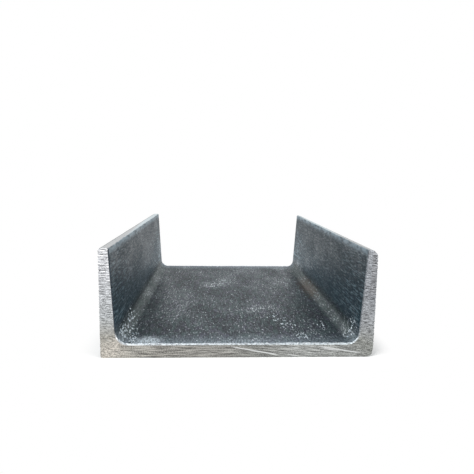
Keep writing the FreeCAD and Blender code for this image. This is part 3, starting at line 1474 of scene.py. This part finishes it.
@dataclass(frozen=True)
class RubbedFlecks:
    """Small bright lumps in the hollow, drawn out along the bar, scattered by Geometry Nodes.

    The hollow was knocked and rubbed most at the near roots, and in a trail over the web to the right.
    """

    section: RolledSection
    length: float
    sparse: float = 0.9
    radius: float = 0.46
    drawn_out: float = 2.1
    height: float = 0.2
    sunk: float = 0.4
    least: float = 0.35
    most: float = 1.5
    lone_size: float = 0.55
    crowded_from: float = 6.0
    swing: float = 0.6
    sides: int = 6
    top_size: tuple[float, float] = (0.55, 0.6)
    off_web: float = -0.4
    off_toe: float = 3.0
    off_end: float = 1.0
    seed: int = 5
    up_flange: Fade = Fade("above_root", 0.0, 8.0, 1.0, 0.1)
    clusters: tuple[Cluster, ...] = (
        Cluster((-60.5, 40.0, 4.0), 7.0, 34.0),
        Cluster((-60.0, 26.0, 2.5), 8.0, 46.0),
        Cluster((-58.5, 12.0, 1.0), 8.0, 56.0),
        Cluster((-55.0, 5.0, 0.0), 5.0, 50.0),
        Cluster((26.0, 44.0, 0.0), 8.0, 28.0),
        Cluster((30.0, 30.0, 0.0), 6.0, 32.0),
        Cluster((35.0, 11.0, 0.0), 5.0, 42.0),
        Cluster((49.5, 30.0, 0.0), 3.5, 38.0),
        Cluster((53.0, 16.0, 0.0), 3.5, 54.0),
        Cluster((61.5, 12.0, 4.0), 7.0, 44.0),
    )

    def fleck(self) -> bpy.types.Object:
        """Make one fleck, which the tree copies.

        Returns:
            A low lump, longer along Y.
        """
        ring = circle(self.sides)
        foot = [(x, y, -self.sunk) for x, y in ring]
        top = [(x * self.top_size[0], y * self.top_size[1], 1 - self.sunk) for x, y in ring]
        size = np.array((self.radius, self.radius * self.drawn_out, self.height)) * MM
        lower, upper = range(self.sides), range(self.sides, 2 * self.sides)
        faces = [tuple(lower)[::-1], tuple(upper)]
        faces += [(i, (i + 1) % self.sides, upper[(i + 1) % self.sides], upper[i]) for i in lower]
        return new_piece("fleck", (np.array(foot + top) * size).tolist(), [], faces)

    def tree(self, fleck: bpy.types.Object, material: Material) -> GeometryWiring:
        """Build the tree that scatters flecks over the hollow's faces.

        Args:
            fleck: Shape of one.
            material: Their finish.

        Returns:
            The tree.
        """
        wiring = GeometryWiring("rubbed_flecks", {"Sparse": self.sparse, "Seed": self.seed, "Fleck": fleck})
        wiring.known.update(self.section.measures(self.length))
        corner = Vector((0.0, -self.length / 2, self.section.web))
        wiring.known["place_in_hollow"] = wiring.add(Kind.VECTOR_SUBTRACT, "place", corner)
        wiring.know(self)
        in_hollow = Product((
            Made(Kind.LESS_THAN, ("across", self.section.inner_x(self.section.width))),
            Made(Kind.GREATER_THAN, ("above_web", self.off_web)),
            Made(Kind.GREATER_THAN, ("below_toe", self.off_toe)),
            Made(Kind.GREATER_THAN, ("from_end", self.off_end)),
        ))
        crowd = Product(("Sparse", "up_flange"))
        for cluster in self.clusters:
            crowd = wiring.add(Kind.ADD, crowd, cluster)
        spread = wiring.add(Kind.SCATTER, "Geometry", in_hollow, Product((crowd, PER_CM2)), "Seed")
        along = wiring.add(Kind.ALIGN, spread.node.outputs["Rotation"], Vector((0, 1, 0)))
        swing = wiring.add(Kind.RANDOM, -self.swing, self.swing, self.seed)
        turned = wiring.add(Kind.TURN_BY, along, wiring.add(Kind.TURN, Vector((0, 0, 1)), swing))
        grown = wiring.add(Kind.RANDOM, self.least, self.most, self.seed + 1)
        growth = Fade(crowd, self.sparse, self.sparse + self.crowded_from, self.lone_size, 1.0)
        grown = Product((grown, growth))
        flecks = wiring.add(Kind.COPY_TO, spread, wiring.add(Kind.SHAPE_OF, "Fleck"), turned, grown)
        wiring.close(flecks, {True: material})
        return wiring

    def build(self, bar: bpy.types.Object, material: Material) -> bpy.types.Object:
        """Scatter the flecks over the bar's inner faces.

        Args:
            bar: Finished bar.
            material: Finish of the flecks.

        Returns:
            All flecks as one piece.
        """
        fleck = self.fleck()
        piece = bpy.data.objects.new("rubbed_flecks", bar.data.copy())
        bpy.context.scene.collection.objects.link(piece)
        self.tree(fleck, material).run(piece)
        bpy.data.objects.remove(fleck)
        seat(piece)
        return piece


class Lamp(NamedTuple):
    """One square soft lamp that points at the bar. Its place and size are metres, its power is watts."""

    name: str
    place: Place
    size: float
    power: float


@dataclass(frozen=True)
class Studio:
    """Pale floor, white surroundings, soft lamps and the camera that sees the bar as the photograph does."""

    footprint: Vector
    lamps: tuple[Lamp, ...] = (
        Lamp("key_lamp", (-0.75, -0.75, 1.05), 0.8, 14.0),
        Lamp("fill_lamp", (0.9, -0.5, 0.8), 0.9, 5.0),
    )
    white: str = "#FFFFFF"
    floor_colour: str = "#FBFBFA"
    floor_radius: float = 3000.0
    floor_sides: int = 96
    fade_end: float = 16.0
    sky_strength: float = 0.62
    focal_pixels: float = 449.51
    picture_pixels: int = 474
    sensor: float = 36.0
    clip_start: float = 0.01
    yaw: float = math.radians(2.936)
    pitch: float = math.radians(7.724)
    roll: float = math.radians(-0.867)
    camera_place: Place = (-13.05, -319.74, 92.17)

    @staticmethod
    def seen(wiring: Wiring) -> Socket:
        """Tell which rays look at the surroundings: from the camera, in a reflection or through glass.

        Args:
            wiring: Tree to add to.

        Returns:
            Output that is one for those rays.
        """
        path = wiring.add(Kind.LIGHT_PATH).node.outputs
        either = wiring.add(Kind.MAXIMUM, path["Is Camera Ray"], path["Is Glossy Ray"])
        return wiring.add(Kind.MAXIMUM, either, path["Is Transmission Ray"])

    def floor(self) -> None:
        """Lay a round floor under the bar, pale near it and as white as the surroundings further out."""
        radius = self.floor_radius * MM
        ring = [(radius * x, radius * y, 0.0) for x, y in circle(self.floor_sides)]
        floor = new_piece("floor", ring, [], [tuple(range(self.floor_sides))])
        wiring = MaterialWiring("pale_floor")
        beyond = wiring.add(Kind.VECTOR_SUBTRACT, wiring.add(Kind.VECTOR_ABSOLUTE, "place"), self.footprint)
        away = wiring.add(Kind.LENGTH, wiring.add(Kind.VECTOR_MAXIMUM, beyond, Vector((0, 0, 0))))
        share = Product((Fade(away, 0.0, self.fade_end), self.seen(wiring)))
        matt, white = wiring.add(Kind.MATT, self.floor_colour), wiring.add(Kind.GLOW, self.white, 1.0)
        wiring.add(Kind.SURFACE, wiring.add(Kind.MIX_SHADERS, share, matt, white))
        floor.data.materials.append(wiring.material)

    def surroundings(self) -> None:
        """Set a world that is white to the eye and in reflections, and a plain soft sky for the light."""
        world = bpy.data.worlds.new("studio")
        bpy.context.scene.world = world
        world.use_nodes = True
        world.node_tree.nodes.clear()
        wiring = Wiring(world.node_tree)
        strength = Fade(self.seen(wiring), 0.0, 1.0, self.sky_strength, 1.0)
        wiring.add(Kind.WORLD, wiring.add(Kind.SKY, self.white, strength))

    @staticmethod
    def hang(lamp: Lamp) -> None:
        """Hang one lamp, pointing at the bar.

        Args:
            lamp: The lamp.
        """
        light = bpy.data.lights.new(lamp.name, "AREA")
        light.size = lamp.size
        light.energy = lamp.power
        hung = bpy.data.objects.new(lamp.name, light)
        hung.location = lamp.place
        hung.rotation_euler = (-Vector(lamp.place)).to_track_quat("-Z", "Y").to_euler()
        bpy.context.scene.collection.objects.link(hung)

    def camera(self) -> None:
        """Set the camera that sees the bar as the photograph does."""
        ahead = math.cos(self.pitch)
        forward = Vector((math.sin(self.yaw) * ahead, math.cos(self.yaw) * ahead, -math.sin(self.pitch)))
        level = Vector((math.cos(self.yaw), -math.sin(self.yaw), 0))
        down = forward.cross(level)
        right = level * math.cos(self.roll) + down * math.sin(self.roll)
        up = level * math.sin(self.roll) - down * math.cos(self.roll)
        camera = bpy.data.objects.new("camera", bpy.data.cameras.new("camera"))
        camera.data.sensor_width = self.sensor
        camera.data.lens = self.focal_pixels / self.picture_pixels * self.sensor
        camera.data.clip_start = self.clip_start
        turn = Matrix((right, up, -forward)).transposed().to_4x4()
        camera.matrix_world = Matrix.Translation(Vector(self.camera_place) * MM) @ turn
        bpy.context.scene.collection.objects.link(camera)
        bpy.context.scene.camera = camera

    def build(self) -> None:
        """Set up the whole studio."""
        self.floor()
        self.surroundings()
        for lamp in self.lamps:
            self.hang(lamp)
        self.camera()
        bpy.context.scene.view_settings.view_transform = "Standard"


def main() -> None:
    """Build the bar, dress it, and set up the studio."""
    logging.basicConfig(level=logging.INFO, format="%(name)s %(message)s")
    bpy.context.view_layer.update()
    low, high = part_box(NODE)
    mounts = {mount["name"]: mount for mount in frame["record"]["mounts"]}
    section = RolledSection(depth=(high.x - low.x) / MM, width=(high.z - low.z) / MM,
                            web=mounts["web_inner_face"]["pos_m"][2] / MM)
    length = (high.y - low.y) / MM
    cut = SawCut()
    torn = BareFinish("torn_wire_edge_steel", "#B4C0C9", "#F2F8FC").material()
    knocked = BareFinish("knocked_bright_steel", "#93A3AE", "#E6EFF4").material()
    materials = {Face.ROLLED: RolledFinish().material(section, length), Face.SAWN: SawnFinish().material(cut),
                 Face.FILED: FiledFinish().material()}
    bar = ChannelBar(section, length).build(Relief(section, cut), materials)
    WireEdge(section, length).build(torn)
    RubbedFlecks(section, length).build(bar, knocked)
    Studio(Vector((high.x, high.y, 0)) / MM).build()


if __name__ == "__main__":
    main()
